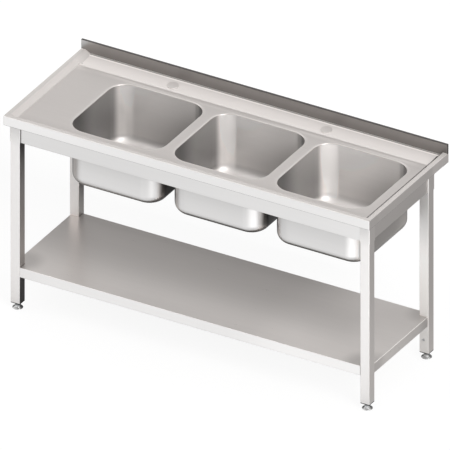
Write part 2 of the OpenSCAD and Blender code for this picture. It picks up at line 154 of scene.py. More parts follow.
# ---------------------------------------------------------------- mesh helpers
class Mesh:
    def __init__(self):
        self.points = []
        self.faces = []

    def add(self, points):
        first = len(self.points)
        self.points.extend(tuple(p) for p in points)
        return list(range(first, len(self.points)))

    def loft(self, loops, closed=True, caps=False, ring=False):
        """Skins the loops in turn. A ring joins the last loop to the first."""
        rows = [self.add(loop) for loop in loops]
        count = len(rows[0])
        pairs = list(zip(rows[:-1], rows[1:]))
        if ring:
            pairs.append((rows[-1], rows[0]))
        for a, b in pairs:
            for i in range(count if closed else count - 1):
                j = (i + 1) % count
                self.faces.append((a[i], a[j], b[j], b[i]))
        if caps:
            self.faces.append(tuple(reversed(rows[0])))
            self.faces.append(tuple(rows[-1]))


def lofted(loops, **options):
    mesh = Mesh()
    mesh.loft(loops, **options)
    return mesh


def add_object(name, data):
    piece = bpy.data.objects.new(name, data)
    bpy.context.scene.collection.objects.link(piece)
    return piece


def weight_normals(piece):
    modifier = piece.modifiers.new("wn", "WEIGHTED_NORMAL")
    modifier.keep_sharp = True
    modifier.weight = 100
    modifier.mode = "FACE_AREA"


def make(name, mesh, sharp, body="sink_and_frame", weighted=True, weld=1e-7):
    """Object from a mesh in mm. sharp is the edge angle in degrees, weld is in metres."""
    data = bpy.data.meshes.new(name)
    data.from_pydata([(x * MM, y * MM, z * MM) for x, y, z in mesh.points], [], mesh.faces)
    bm = bmesh.new()
    bm.from_mesh(data)
    bmesh.ops.remove_doubles(bm, verts=bm.verts, dist=weld)
    bmesh.ops.dissolve_degenerate(bm, edges=bm.edges, dist=1e-8)
    bmesh.ops.recalc_face_normals(bm, faces=bm.faces)
    bm.to_mesh(data)
    bm.free()
    data.polygons.foreach_set("use_smooth", [True] * len(data.polygons))
    data.set_sharp_from_angle(angle=math.radians(sharp))
    data.update()
    piece = add_object(name, data)
    if weighted:
        weight_normals(piece)
    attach(piece, body)
    return piece


def stand_for(piece, node):
    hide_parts(node)
    return piece


# ---------------------------------------------------------------- worktop
EDGE_RADIUS = 2.0                       # top outer edge
INNER_LEFT, INNER_RIGHT = LEFT + RIM_WIDTH, RIGHT - RIM_WIDTH
INNER_FRONT = FRONT + RIM_WIDTH
# Bands of grid lines: first and last offset from the band's base, number of steps
SIDE_BANDS = [(-2.0, 2.4, 8), (4.0, 15.0, 4), (15.6, 24.6, 18), (25.6, 35.6, 10)]
DECK_CELL_OFFSET = 20.8                 # the bowls are cut from the cell behind this line
FRONT_BANDS = [(-2.0, 2.4, 8), (4.0, 15.0, 3), (15.6, DECK_CELL_OFFSET, 10)]
LEDGE_BANDS = [(-5.0, 5.0, 10)]
LEDGE_CELL_OFFSETS = (15, 70)           # the tap holes are cut from the cell between these


def soft_max(a, b, blend):
    overlap = max(blend - abs(a - b), 0.0)
    return max(a, b) + overlap * overlap / (4 * blend)


def soft_min(a, b, blend):
    return -soft_max(-a, -b, blend)


def deck_height(x, y):
    """Flat rim, slopes down to the sunken deck, and the ledge rising to the rear."""
    back = min(max((y - LEDGE_FRONT) / (UPSTAND_FRONT - LEDGE_FRONT), 0.0), 1.0)
    ease_in = min(back / 0.06, 1.0)
    # the left slope is gentler beside the ledge
    left_slope = 1.0 - 0.40 * ease_in * ease_in * (3 - 2 * ease_in) - 0.06 * back
    side = -min(left_slope * (x - INNER_LEFT), INNER_RIGHT - x)
    front = -(y - INNER_FRONT)
    floor = soft_max(-DECK_DROP, -DECK_DROP + (y - LEDGE_FRONT) * LEDGE_SLOPE, blend=0.35)
    slopes = soft_max(side, front, blend=2.5)
    bottom = soft_max(slopes, floor, blend=2.2)
    return RIM_TOP + soft_min(0.0, bottom, blend=1.6)


def banded(base, bands):
    return [
        base + first + (last - first) * i / steps
        for first, last, steps in bands for i in range(steps + 1)
    ]


def grid_lines():
    """Columns, mirrored about x = 0, and rows of the deck grid."""
    edge = LEFT + EDGE_RADIUS
    left = [edge, edge + 6] + banded(INNER_LEFT, SIDE_BANDS)
    left = sorted(set(round(x, 4) for x in left))
    edge = FRONT + EDGE_RADIUS
    rows = [edge, edge + 6] + banded(INNER_FRONT, FRONT_BANDS) + banded(LEDGE_FRONT, LEDGE_BANDS)
    rows += [LEDGE_FRONT + offset for offset in LEDGE_CELL_OFFSETS]
    rows += [UPSTAND_FRONT - UPSTAND_FILLET - 3, UPSTAND_FRONT - UPSTAND_FILLET]
    return left + [-x for x in reversed(left)], sorted(set(round(y, 4) for y in rows))


def in_bowl_hole(point):
    half, radius = BOWL_HALF + BOWL_FLANGE, BOWL_CORNER + BOWL_FLANGE
    for cx, cy in BOWLS:
        dx, dy = abs(point.x - cx), abs(point.y - cy)
        if dx >= half or dy >= half:
            continue
        cx_over, cy_over = dx - half + radius, dy - half + radius
        in_corner = cx_over > 0 and cy_over > 0
        if not (in_corner and math.hypot(cx_over, cy_over) > radius):
            return True
    return False


def in_tap_hole(point):
    return any(math.hypot(point.x - x, point.y - y) < TAP_RADIUS - 0.1 for x, y in TAP_HOLES)


def add_holed_cell(mesh, x_span, y_span, outlines, in_hole):
    """One wide grid cell, triangulated round its holes."""
    (x0, x1), (y0, y1) = x_span, y_span
    points = []
    edges = []
    for outline in [[(x0, y0), (x1, y0), (x1, y1), (x0, y1)]] + outlines:
        first, count = len(points), len(outline)
        points += [Vector(p) for p in outline]
        edges += [(first + k, first + (k + 1) % count) for k in range(count)]
    cut, _, faces, _, _, _ = geometry.delaunay_2d_cdt(points, edges, [], 1, 1e-5)
    ids = mesh.add([(p.x, p.y, deck_height(p.x, p.y)) for p in cut])
    for face in faces:
        centre = sum((Vector(cut[k]) for k in face), Vector((0, 0))) / len(face)
        if not in_hole(centre):
            mesh.faces.append(tuple(ids[k] for k in face))


def add_deck(mesh, xs, ys):
    ids = {
        (i, j): mesh.add([(x, y, deck_height(x, y))])[0]
        for j, y in enumerate(ys) for i, x in enumerate(xs)
    }
    wide = len(xs) // 2 - 1
    deck_row = ys.index(round(INNER_FRONT + DECK_CELL_OFFSET, 4))
    ledge_row = ys.index(round(LEDGE_FRONT + LEDGE_CELL_OFFSETS[0], 4))
    for j in range(len(ys) - 1):
        for i in range(len(xs) - 1):
            if i == wide and j in (deck_row, ledge_row):
                continue
            mesh.faces.append((ids[i, j], ids[i + 1, j], ids[i + 1, j + 1], ids[i, j + 1]))
    bowl_hole = rounded_square(BOWL_HALF + BOWL_FLANGE, BOWL_CORNER + BOWL_FLANGE, 12, 6)
    tap_hole = circle(TAP_RADIUS, 48)
    x_span = xs[wide:wide + 2]
    add_holed_cell(mesh, x_span, ys[deck_row:deck_row + 2],
                   [moved(bowl_hole, centre) for centre in BOWLS], in_bowl_hole)
    add_holed_cell(mesh, x_span, ys[ledge_row:ledge_row + 2],
                   [moved(tap_hole, centre) for centre in TAP_HOLES], in_tap_hole)


def add_skirt(mesh, xs, ys):
    """Edge, skirt and bottom hem, swept round the left, front and right of the deck."""
    left, right, front = LEFT + EDGE_RADIUS, RIGHT - EDGE_RADIUS, FRONT + EDGE_RADIUS
    rear = [UPSTAND_FRONT, REAR - 0.4]
    # x, y and the outward direction
    path = [(left, y, -1, 0) for y in reversed(ys + rear)]
    path += [(left, front, c, s) for s, c in sin_cos((202.5, 225, 247.5))]
    path += [(x, front, 0, -1) for x in xs]
    path += [(right, front, c, s) for s, c in sin_cos((292.5, 315, 337.5))]
    path += [(right, y, 1, 0) for y in ys + rear]
    # distance outwards and height
    r, hem = EDGE_RADIUS, HEM_RADIUS
    profile = [(r * s, RIM_TOP - r + r * c) for s, c in sin_cos(range(0, 91, 15))]
    profile += [(r, BASE + hem + 20)]
    profile += [(r - hem + hem * c, BASE + hem - hem * s) for s, c in sin_cos(range(0, 91, 18))]
    profile += [(r - 12.0, BASE)]
    loops = [[(x + out * dx, y + out * dy, z) for x, y, dx, dy in path] for out, z in profile]
    mesh.loft(loops, closed=False)


def add_upstand_fillet(mesh, xs):
    y = UPSTAND_FRONT - UPSTAND_FILLET
    rows = [
        [(x, y + UPSTAND_FILLET * s, deck_height(x, y) + UPSTAND_FILLET * (1 - c)) for x in xs]
        for s, c in sin_cos((0, 15, 30, 45, 60, 75, 88))
    ]
    mesh.loft(rows, closed=False)


def face_up(data):
    """Turns the skin so that its largest face looks up; the thickness then goes inside."""
    bm = bmesh.new()
    bm.from_mesh(data)
    bm.normal_update()
    if max(bm.faces, key=lambda face: face.calc_area()).normal.z < 0:
        bmesh.ops.reverse_faces(bm, faces=bm.faces)
    bm.to_mesh(data)
    bm.free()


def build_worktop():
    mesh = Mesh()
    xs, ys = grid_lines()
    add_deck(mesh, xs, ys)
    add_skirt(mesh, xs, ys)
    add_upstand_fillet(mesh, xs)
    piece = make("worktop_sheet", mesh, sharp=50, weighted=False, weld=2e-5)
    face_up(piece.data)
    solid = piece.modifiers.new("sheet", "SOLIDIFY")
    solid.thickness = SHEET * MM
    solid.offset = -1.0
    solid.use_even_offset = True
    weight_normals(piece)
    return stand_for(piece, "worktop")


def build_upstand():
    """Upright rear strip, with a lip turned forwards under the worktop."""
    bend = 2.2
    lip_y = REAR - 42
    foot = DECK + LEDGE_RISE - 1
    corner = 0.6
    inner_rear = REAR - SHEET
    # y, z
    profile = [(UPSTAND_FRONT, foot)]
    profile += arc(UPSTAND_FRONT + bend, TOP - bend, bend, 180, 90, 6)
    profile += arc(REAR - bend, TOP - bend, bend, 90, 0, 6)
    profile += arc(REAR - HEM_RADIUS, BASE + HEM_RADIUS, HEM_RADIUS, 0, -90, 5)
    profile += [
        (lip_y, BASE), (lip_y, BASE + SHEET),
        (inner_rear - corner, BASE + SHEET), (inner_rear, BASE + SHEET + corner),
        (inner_rear, foot - 2), (UPSTAND_FRONT + SHEET, foot - 2),
        (UPSTAND_FRONT + SHEET, foot - 0.5),
    ]
    # chamfered ends, set just inside the worktop; the lip keeps its depth
    gap, chamfer = 0.1, 0.35
    end = []
    for y, z in profile:
        if y > UPSTAND_FRONT - 1:
            y = min(max(y, UPSTAND_FRONT + chamfer), REAR - chamfer)
        end.append((y, min(z, TOP - chamfer)))
    stations = [
        (LEFT + gap, end), (LEFT + gap + chamfer, profile),
        (RIGHT - gap - chamfer, profile), (RIGHT - gap, end),
    ]
    mesh = lofted([[(x, y, z) for y, z in section] for x, section in stations], caps=True)
    return stand_for(make("worktop_upstand", mesh, sharp=40), "worktop")


# ---------------------------------------------------------------- bowls
RING_RADIUS = 64                        # where the floor meets the round seat
# Seat round the outlet, top then underside: radius and depth below the bowl floor
SEAT = [
    (61.5, 0.7), (60.0, 1.0), (58.9, 1.8), (58.2, 2.6), (57.2, 3.0),
    (45.6, 3.0), (45.0, 3.4), (45.0, 3.8), (45.6, 3 + SHEET),
    (58.2, 3 + SHEET), (59.4, 3.6), (60.2, 2.6), (61.5, 1.9), (RING_RADIUS, 1.8),
]


def build_bowl(name, centre):
    """Closed shell: down the inside, across the seat and back up the outside."""
    def square(grow):
        return rounded_square(BOWL_HALF + grow, BOWL_CORNER + grow, 12, 6)

    def wall(grow, z):
        return at_height(moved(square(grow), centre), z)

    def ring(radius, z, roundness=1.0):
        """Loop between the square edge of the floor (0) and a circle (1)."""
        points = []
        for x, y in square(-BOWL_FILLET):
            scale = radius / math.hypot(x, y)
            points.append((x * (1 - roundness) + x * scale * roundness,
                           y * (1 - roundness) + y * scale * roundness))
        return at_height(moved(points, centre), z)

    wall_top = DECK - BOWL_ROLL
    height = wall_top - BOWL_FLOOR - BOWL_FILLET
    outer_fillet = BOWL_FILLET + SHEET
    outer_roll = BOWL_ROLL - SHEET
    lip = BOWL_FLANGE - 0.02
    fillet_centre = BOWL_FLOOR + BOWL_FILLET

    loops = [wall(lip, DECK)]
    loops += [wall(BOWL_ROLL - BOWL_ROLL * s, wall_top + BOWL_ROLL * c)
              for s, c in sin_cos((0, 12, 24, 36, 48, 60, 72, 82, 90))]
    loops += [wall(0, wall_top - height * t) for t in (0.05, 0.35, 0.65, 0.95, 1.0)]
    loops += [wall(-BOWL_FILLET + BOWL_FILLET * c, fillet_centre - BOWL_FILLET * s)
              for s, c in sin_cos(np.linspace(4, 90, 20))]
    loops += [ring(RING_RADIUS, BOWL_FLOOR - 0.6 * t, t) for t in (0.02, 0.35, 0.7, 1.0)]
    loops += [ring(radius, BOWL_FLOOR - depth) for radius, depth in SEAT]
    loops += [ring(RING_RADIUS, BOWL_FLOOR - 1.8 + 0.6 * (1 - t), t) for t in (0.7, 0.35, 0.02)]
    loops += [wall(-BOWL_FILLET + outer_fillet * c, fillet_centre - outer_fillet * s)
              for s, c in sin_cos(np.linspace(90, 4, 20))]
    loops += [wall(SHEET, wall_top - height * t) for t in (1.0, 0.95, 0.65, 0.35, 0.05)]
    loops += [wall(BOWL_ROLL - outer_roll * s, wall_top + outer_roll * c)
              for s, c in sin_cos((90, 70, 50, 30, 10))]
    loops += [wall(lip, DECK - SHEET)]
    piece = make(name + "_shell", lofted(loops, ring=True), sharp=60)
    return stand_for(piece, name)


# ---------------------------------------------------------------- frame
def build_tube(name, node, width, corner, wall):
    """Upright square tube with eased outer ends."""
    _, _, z0, _, _, z1 = box_mm(node)
    stations = [                        # inset and height
        (wall, z1), (0.25, z1), (0, z1 - 0.25),
        (0, z0 + 0.35), (0.1, z0 + 0.1), (0.35, z0), (wall, z0),
    ]
    loops = [
        at_height(moved(rounded_square(width / 2 - e, max(corner - e, 0.3), 6, 1),
                        middle(node)), z)
        for e, z in stations
    ]
    piece = make(name, lofted(loops, ring=True), sharp=50)
    return stand_for(piece, node)


def build_apron(side):
    """Folded channel under the worktop, its web outside and its flanges turned inwards."""
    node = "apron_" + side
    x0, y0, z0, x1, y1, z1 = box_mm(node)
    along_x = side in ("front", "rear")
    (low, high), ends = ((y0, y1), (x0, x1)) if along_x else ((x0, x1), (y0, y1))
    web, inward = (low, 1) if side in ("front", "left") else (high, -1)
    flange = high - low
    wall, outer, inner = 1.5, 2.6, 1.1
    bend = wall + inner
    # distance inwards from the web and height
    section = [(flange, z0), (flange, z0 + wall)]
    section += arc(bend, z0 + bend, inner, 270, 180, 4)
    section += arc(bend, z1 - bend, inner, 180, 90, 4)
    section += [(flange, z1 - wall), (flange, z1)]
    section += arc(outer, z1 - outer, outer, 90, 180, 5)
    section += arc(outer, z0 + outer, outer, 180, 270, 5)
    loops = []
    for end in ends:
        across = [(web + inward * depth, z) for depth, z in section]
        loops.append([(end, a, z) if along_x else (a, end, z) for a, z in across])
    piece = make("apron_fold_" + side, lofted(loops, caps=True), sharp=40)
    return stand_for(piece, node)


def build_shelf():
    """Folded tray, notched at its four corners for the legs."""
    _, front, z0, side, rear, z1 = box_mm("shelf")
    notch = 20.5                        # from a leg's centre to the notch
    nx, nf, nr = LEG_X - notch, LEG_FRONT_Y + notch, LEG_REAR_Y - notch
    outline = [
        (-nx, front), (nx, front), (nx, nf), (side, nf), (side, nr), (nx, nr),
        (nx, rear), (-nx, rear), (-nx, nr), (-side, nr), (-side, nf), (-nx, nf),
    ]
    r, corner, hem = 2.0, 0.8, 12
    inner = SHEET + corner
    # inset and height
    profile = [(r - r * s, z1 - r + r * c) for s, c in sin_cos(range(0, 91, 15))]
    profile += [(0, z0 + r + 14)]
    profile += [(r - r * c, z0 + r - r * s) for s, c in sin_cos(range(0, 91, 18))]
    profile += [
        (hem, z0), (hem, z0 + SHEET), (inner, z0 + SHEET),
        (SHEET, z0 + inner), (SHEET, z1 - inner), (inner, z1 - SHEET),
    ]
    loops = [at_height(inset(outline, e), z) for e, z in profile]
    piece = make("shelf_tray", lofted(loops, caps=True), sharp=40)
    return stand_for(piece, "shelf")


# ---------------------------------------------------------------- feet, radius and height
FOOT_DISC = [
    (17.8, 0.0), (19.2, 0.15), (20.1, 0.7), (20.5, 1.6), (20.4, 2.5), (19.8, 3.3), (18.6, 4.0),
    (16.6, 4.9), (14.8, 5.9), (13.4, 7.0), (12.7, 8.0), (4.04, 8.0), (4.04, 4.0),
]
FOOT_COLLAR = [
    (3.9, 4.0), (3.9, 8.0), (11.6, 8.02), (12.0, 8.5), (11.6, 10.0), (11.0, 12.0), (10.8, 15.0),
    (11.0, 18.5), (11.6, 21.0), (12.0, 22.6), (12.0, 23.4), (11.6, 23.9), (10.9, 24.0),
    (5.0, 24.0),
]
THREAD_PITCH = 1.5
FOOT_THREAD = [
    point for z in np.arange(24.6, 82.0, THREAD_PITCH)
    for point in ((4.98, z), (4.45, z + THREAD_PITCH / 2))
]
FOOT_SCREW = FOOT_COLLAR + FOOT_THREAD + [(5.0, 83.0), (4.0, 84.9)]


def build_foot_part(name, node, profile, centre, segments):
    loops = [at_height(moved(circle(radius, segments), centre), z) for radius, z in profile]
    piece = make(name, lofted(loops, caps=True), sharp=40, body=node + "_body")
    return stand_for(piece, node)


def build_plug(side, centre):
    """Tap hole plug: a low cap with a rolled edge on the tilted ledge, and its spigot."""
    head, roll, spigot, bore = 22.5, 0.9, TAP_RADIUS - 0.2, 0.02
    # radius and height above the ledge
    profile = [
        (spigot - 1.5, -12.0), (spigot - 0.6, -12.0), (spigot - 0.15, -11.7), (spigot, -11.3),
        (spigot, 0.0), (head - 0.5, 0.0), (head - 0.15, 0.15), (head, 0.5), (head, 1.5),
    ]
    profile += [(head - roll + roll * c, 1.5 + roll * s) for s, c in sin_cos(range(15, 91, 15))]
    profile += [(16.0, 2.4), (8.0, 2.4), (bore, 2.4), (bore, 0.6), (8.0, 0.6), (spigot - 1.5, 0.6)]
    cx, cy = centre
    cz = DECK + (cy - LEDGE_FRONT) * LEDGE_SLOPE
    tilt = math.atan(LEDGE_SLOPE)
    s, c = math.sin(tilt), math.cos(tilt)
    loops = [
        [(cx + x, cy + y * c - z * s, cz + y * s + z * c) for x, y in circle(radius, 96)]
        for radius, z in profile
    ]
    mesh = lofted(loops, ring=True)
    piece = make("plug_cap_" + side, mesh, sharp=50, body="tap_plug_" + side)
    return stand_for(piece, "tap_hole_plug_" + side)


worktop = build_worktop()
upstand = build_upstand()
shelf = build_shelf()
bowls = [build_bowl(name, centre) for name, centre in zip(BOWL_NAMES, BOWLS)]
tubes = []
for corner_name in CORNERS:
    tubes.append(build_tube("leg_tube_" + corner_name, "leg_" + corner_name,
                            LEG_WIDTH, corner=2.5, wall=1.5))
    socket = "socket_" + corner_name
    socket_box = box_mm(socket)
    tubes.append(build_tube("leg_" + socket, socket, socket_box[3] - socket_box[0],
                            corner=3.5, wall=2.0))
aprons = {side: build_apron(side) for side in ("front", "rear", "left", "right")}
feet = []
for corner_name in CORNERS:
    leg_centre = middle("leg_" + corner_name)
    feet.append(build_foot_part("foot_disc_" + corner_name, "foot_pad_" + corner_name,
                                FOOT_DISC, leg_centre, segments=64))
    feet.append(build_foot_part("foot_screw_" + corner_name, "foot_stem_" + corner_name,
                                FOOT_SCREW, leg_centre, segments=48))
plugs = [build_plug(side, centre) for side, centre in zip(("left", "right"), TAP_HOLES)]


# ---------------------------------------------------------------- shader helpers
def add_node(tree, kind):
    return tree.nodes.new("ShaderNode" + kind)


def feed(tree, socket, value):
    """Links an output to a socket, or sets the socket's value."""
    if isinstance(value, bpy.types.NodeSocket):
        tree.links.new(value, socket)
    else:
        socket.default_value = value


def calc(tree, operation, *values):
    node = add_node(tree, "Math")
    node.operation = operation
    for socket, value in zip(node.inputs, values):
        feed(tree, socket, value)
    return node.outputs[0]


def ease(tree, value, start, end, before, after, interpolation="SMOOTHSTEP"):
    """Goes from before to after while value goes from start to end."""
    node = add_node(tree, "MapRange")
    node.interpolation_type = interpolation
    if start > end:
        start, end, before, after = end, start, after, before
    node.inputs["From Min"].default_value = start
    node.inputs["From Max"].default_value = end
    feed(tree, node.inputs["To Min"], before)
    feed(tree, node.inputs["To Max"], after)
    feed(tree, node.inputs["Value"], value)
    return node.outputs["Result"]


def ramp(tree, value, stops):
    """Smooth steps through stops of (position, level)."""
    level = stops[0][1]
    for (start, _), (end, after) in zip(stops[:-1], stops[1:]):
        level = ease(tree, value, start, end, level, after)
    return level


def times(tree, level, factor):
    return factor if level is None else calc(tree, "MULTIPLY", level, factor)


def split(tree, vector):
    node = add_node(tree, "SeparateXYZ")
    feed(tree, node.inputs[0], vector)
    return node.outputs


def noise(tree, vector, scale, detail):
    node = add_node(tree, "TexNoise")
    node.inputs["Scale"].default_value = scale
    node.inputs["Detail"].default_value = detail
    feed(tree, node.inputs["Vector"], vector)
    return node


def stretched(tree, vector, axis, along, across):
    node = add_node(tree, "Mapping")
    node.inputs["Scale"].default_value = tuple(along if a == axis else across for a in "XYZ")
    feed(tree, node.inputs["Vector"], vector)
    return node.outputs[0]


def mix_colours(tree, first, second, factor):
    node = add_node(tree, "Mix")
    node.data_type = "RGBA"
    node.inputs["A"].default_value = first
    node.inputs["B"].default_value = second
    feed(tree, node.inputs["Factor"], factor)
    return node.outputs["Result"]


def mix_shaders(tree, factor, first, second):
    node = add_node(tree, "MixShader")
    for socket, value in zip(node.inputs, (factor, first, second)):
        feed(tree, socket, value)
    return node.outputs[0]


def glow(tree, kind, colour, strength):
    """Emission or Background shader."""
    node = add_node(tree, kind)
    feed(tree, node.inputs[0], colour)
    feed(tree, node.inputs[1], strength)
    return node.outputs[0]


def bumps(tree, height, strength, distance):
    node = add_node(tree, "Bump")
    node.inputs["Strength"].default_value = strength
    node.inputs["Distance"].default_value = distance
    feed(tree, node.inputs["Height"], height)
    return node.outputs[0]


def empty_material(name):
    material = bpy.data.materials.new(name)
    material.use_nodes = True
    material.node_tree.nodes.clear()
    return material, material.node_tree


# ---------------------------------------------------------------- materials
STEEL = (0.80, 0.762, 0.740)


def painted_light_factor(tree, around, level, tilt, gradients, spots, grazing):
    """Product of the painted light and shade factors described in steel(), or None if there are
    none.
    """
    if not (around or gradients or grazing or spots):
        return None
    surface = add_node(tree, "NewGeometry")
    result = None
    if around:
        normal = split(tree, surface.outputs["Normal"])
        angle = calc(tree, "ARCTAN2", calc(tree, "MULTIPLY", normal[1], -1.0), normal[0])
        result = ramp(tree, angle, [(math.radians(a), factor) for a, factor in around])
    for axis, start, end, before, after in gradients:
        place = split(tree, surface.outputs["Position"])["XYZ".index(axis)]
        result = times(tree, result, ease(tree, place, start, end, before, after))
    for x, y, inner, outer, factor in spots:
        place = split(tree, surface.outputs["Position"])
        dx = calc(tree, "ADD", place[0], -x)
        dy = calc(tree, "ADD", place[1], -y)
        squares = calc(tree, "ADD", calc(tree, "MULTIPLY", dx, dx), calc(tree, "MULTIPLY", dy, dy))
        distance = calc(tree, "SQRT", squares)
        result = times(tree, result, ease(tree, distance, inner, outer, factor, 1.0))
    if level is not None:
        result = ease(tree, normal[2], 0.15, 0.85, result, level)
    if tilt:
        result = calc(tree, "MULTIPLY", result, ramp(tree, normal[2], tilt))
    if grazing:
        weight = add_node(tree, "LayerWeight")
        weight.inputs["Blend"].default_value = 0.5
        start, end, factor = grazing
        facing = weight.outputs["Facing"]
        result = times(tree, result, ease(tree, facing, start, end, 1.0, factor))
    return result


def steel(name, axis, shade=1.0, rough=0.30, metal=1.0, colour=STEEL, grain=0.035, bump=0.03,
          anisotropy=0.35, blotch=0.02, around=None, level=None, tilt=None, gradients=(),
          spots=(), grazing=None):
    """Stainless steel brushed along axis. shade scales the colour, and many materials below use it
    as painted light and shade over whole groups of faces; grain and blotch vary the roughness. The
    rest
    paint light and shade into the colour from place to place, positions in metres:
    around     painted light and shade by direction of the normal, (degrees, factor) stops: 0 +X, 90 -Y (front), 180 -X
    level      painted tone of faces that look up, used with around
    tilt       painted light and shade by the z of the normal, (z, factor) stops, used with around
    gradients  painted light and shade along an axis: (axis, start, end, factor before, factor
    after)
    spots      painted pools of shade (factor below 1) and of light (above 1): (x, y, inner radius, outer radius, factor at the centre)
    grazing    painted darkening where the surface is seen edge-on: (start, end, factor)"""
    material, tree = empty_material(name)
    base = tuple(min(c * shade, 1.0) for c in colour)
    out = add_node(tree, "OutputMaterial")
    shader = add_node(tree, "BsdfPrincipled")
    feed(tree, out.inputs[0], shader.outputs[0])
    coords = add_node(tree, "TexCoord").outputs["Object"]
    fine_node = noise(tree, stretched(tree, coords, axis, along=14.0, across=900.0), 1.0, 3.0)
    fine_node.inputs["Roughness"].default_value = 0.6
    fine = fine_node.outputs["Fac"]
    streaks = stretched(tree, coords, axis, along=3.0, across=60.0)
    streaks = noise(tree, streaks, 1.0, 2.0).outputs["Fac"]
    blotches = noise(tree, coords, 7.0, 2.0).outputs["Fac"]

    roughness = calc(
        tree, "ADD",
        calc(tree, "MULTIPLY_ADD", fine, grain * 2, rough - grain),
        calc(tree, "ADD",
             calc(tree, "MULTIPLY_ADD", streaks, grain * 1.2, -grain * 0.6),
             calc(tree, "MULTIPLY_ADD", blotches, blotch * 2, -blotch)))
    variation = calc(
        tree, "ADD",
        calc(tree, "MULTIPLY_ADD", fine, 0.6, 0.0),
        calc(tree, "MULTIPLY_ADD", streaks, 0.5, -0.05))
    dark = tuple(c * 0.955 for c in base) + (1,)
    light = tuple(min(c * 1.03, 1.0) for c in base) + (1,)
    shown = mix_colours(tree, dark, light, variation)
    # painted light and shade: these factors scale the colour
    factor = painted_light_factor(tree, around, level, tilt, gradients, spots, grazing)
    if factor is not None:
        scaled = add_node(tree, "VectorMath")
        scaled.operation = "SCALE"
        feed(tree, scaled.inputs[0], shown)
        feed(tree, scaled.inputs["Scale"], factor)
        shown = scaled.outputs[0]

    tangent = add_node(tree, "CombineXYZ")
    tangent.inputs[axis].default_value = 1
    feed(tree, shader.inputs["Metallic"], metal)
    feed(tree, shader.inputs["Roughness"], roughness)
    feed(tree, shader.inputs["Base Color"], shown)
    feed(tree, shader.inputs["Normal"], bumps(tree, fine, bump, 0.0002))
    feed(tree, shader.inputs["Anisotropic"], anisotropy)
    feed(tree, shader.inputs["Tangent"], tangent.outputs[0])
    return material


def matt(name, base, rough):
    """Plastic or rubber with a fine matt grain."""
    material = bpy.data.materials.new(name)
    material.use_nodes = True
    tree = material.node_tree
    shader = tree.nodes["Principled BSDF"]
    coords = add_node(tree, "TexCoord").outputs["Object"]
    grain = noise(tree, coords, scale=500.0, detail=3.0).outputs["Fac"]
    variation = 0.1
    dark = tuple(c * (1 - variation) for c in base) + (1,)
    light = tuple(c * (1 + variation) for c in base) + (1,)
    feed(tree, shader.inputs["Base Color"], mix_colours(tree, dark, light, grain))
    roughness = calc(tree, "MULTIPLY_ADD", grain, 0.15, rough - 0.07)
    feed(tree, shader.inputs["Roughness"], roughness)
    feed(tree, shader.inputs["Normal"], bumps(tree, grain, strength=0.1, distance=0.0003))
    return material


